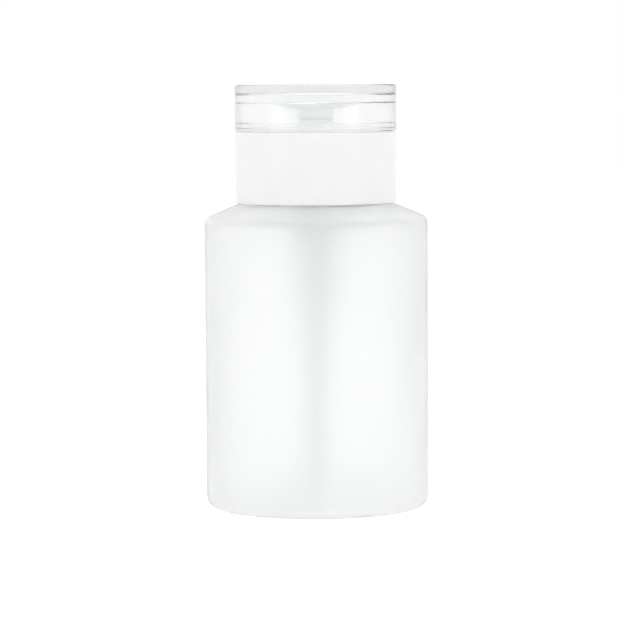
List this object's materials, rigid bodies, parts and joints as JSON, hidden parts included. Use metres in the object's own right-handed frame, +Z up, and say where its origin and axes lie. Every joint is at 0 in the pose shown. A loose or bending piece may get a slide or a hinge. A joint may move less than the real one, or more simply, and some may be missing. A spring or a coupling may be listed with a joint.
{
  "type": "pump oil bottle",
  "caption": "Frosted round dispenser bottle with a white collar, a press dish pump and a clear flip lid.",
  "frame": {"origin": "on the table, under the bottle's axis, at the foot ring", "axes": "+Z up along the bottle's axis; -Y is the front; the lid's hinge is at +Y; +X is the right seen from the front"},
  "size_m": [0.06, 0.06, 0.1133],
  "materials": {
    "frosted_plastic": "frosted translucent",
    "white_plastic": "satin, opaque",
    "white_inner_plastic": "plain moulded",
    "clear_plastic": "polished, clear",
    "natural_plastic": "natural translucent",
    "tube_plastic": "natural translucent",
    "piston_plastic": "soft, waxy",
    "seal_foam": "fine foam",
    "ball_steel": "polished",
    "spring_steel": "drawn wire"
  },
  "bodies": {
    "bottle": {"bottle": "frosted_plastic"},
    "pump_unit": {"pump_housing": "natural_plastic", "neck_gasket": "seal_foam", "chaplet": "white_inner_plastic", "dip_tube": "tube_plastic", "return_spring": "spring_steel"},
    "closure": {"screw_cap": "white_inner_plastic", "collar_sleeve": "white_plastic"},
    "dish": {"press_dish": "white_inner_plastic", "outlet_insert": "white_inner_plastic", "pump_stem": "white_inner_plastic", "piston_rod": "white_inner_plastic"},
    "wiper": {"piston": "piston_plastic"},
    "lid": {"flip_lid": "clear_plastic", "seal_plug": "natural_plastic"},
    "valve_ball": {"inlet_ball": "ball_steel"}
  },
  "joints": [
    {"name": "pump_lift", "type": "slide", "parent": "bottle", "child": "pump_unit", "axis": [0, 0, 1], "range_m": [0, 0.00375]},
    {"name": "cap_turn", "type": "hinge", "parent": "pump_unit", "child": "closure", "pos_m": [0, 0, 0.09], "axis": [0, 0, 1], "range_deg": [0, 450]},
    {"name": "dish_press", "type": "slide", "parent": "pump_unit", "child": "dish", "axis": [0, 0, -1], "range_m": [0, 0.0055], "stiffness_N_per_m": 900, "springref_m": -0.003, "deforming": ["return_spring"]},
    {"name": "piston_float", "type": "slide", "parent": "dish", "child": "wiper", "axis": [0, 0, 1], "range_m": [0, 0.0005]},
    {"name": "lid_hinge", "type": "hinge", "parent": "closure", "child": "lid", "pos_m": [0, 0.0229, 0.1], "axis": [-1, 0, 0], "range_deg": [0, 110]},
    {"name": "ball_lift", "type": "slide", "parent": "pump_unit", "child": "valve_ball", "axis": [0, 0, 1], "range_m": [0, 0.0012]}
  ],
  "couplings": [
    {"joint": "cap_turn", "follows": "pump_lift", "rad_per_m": 2094.4}
  ]
}
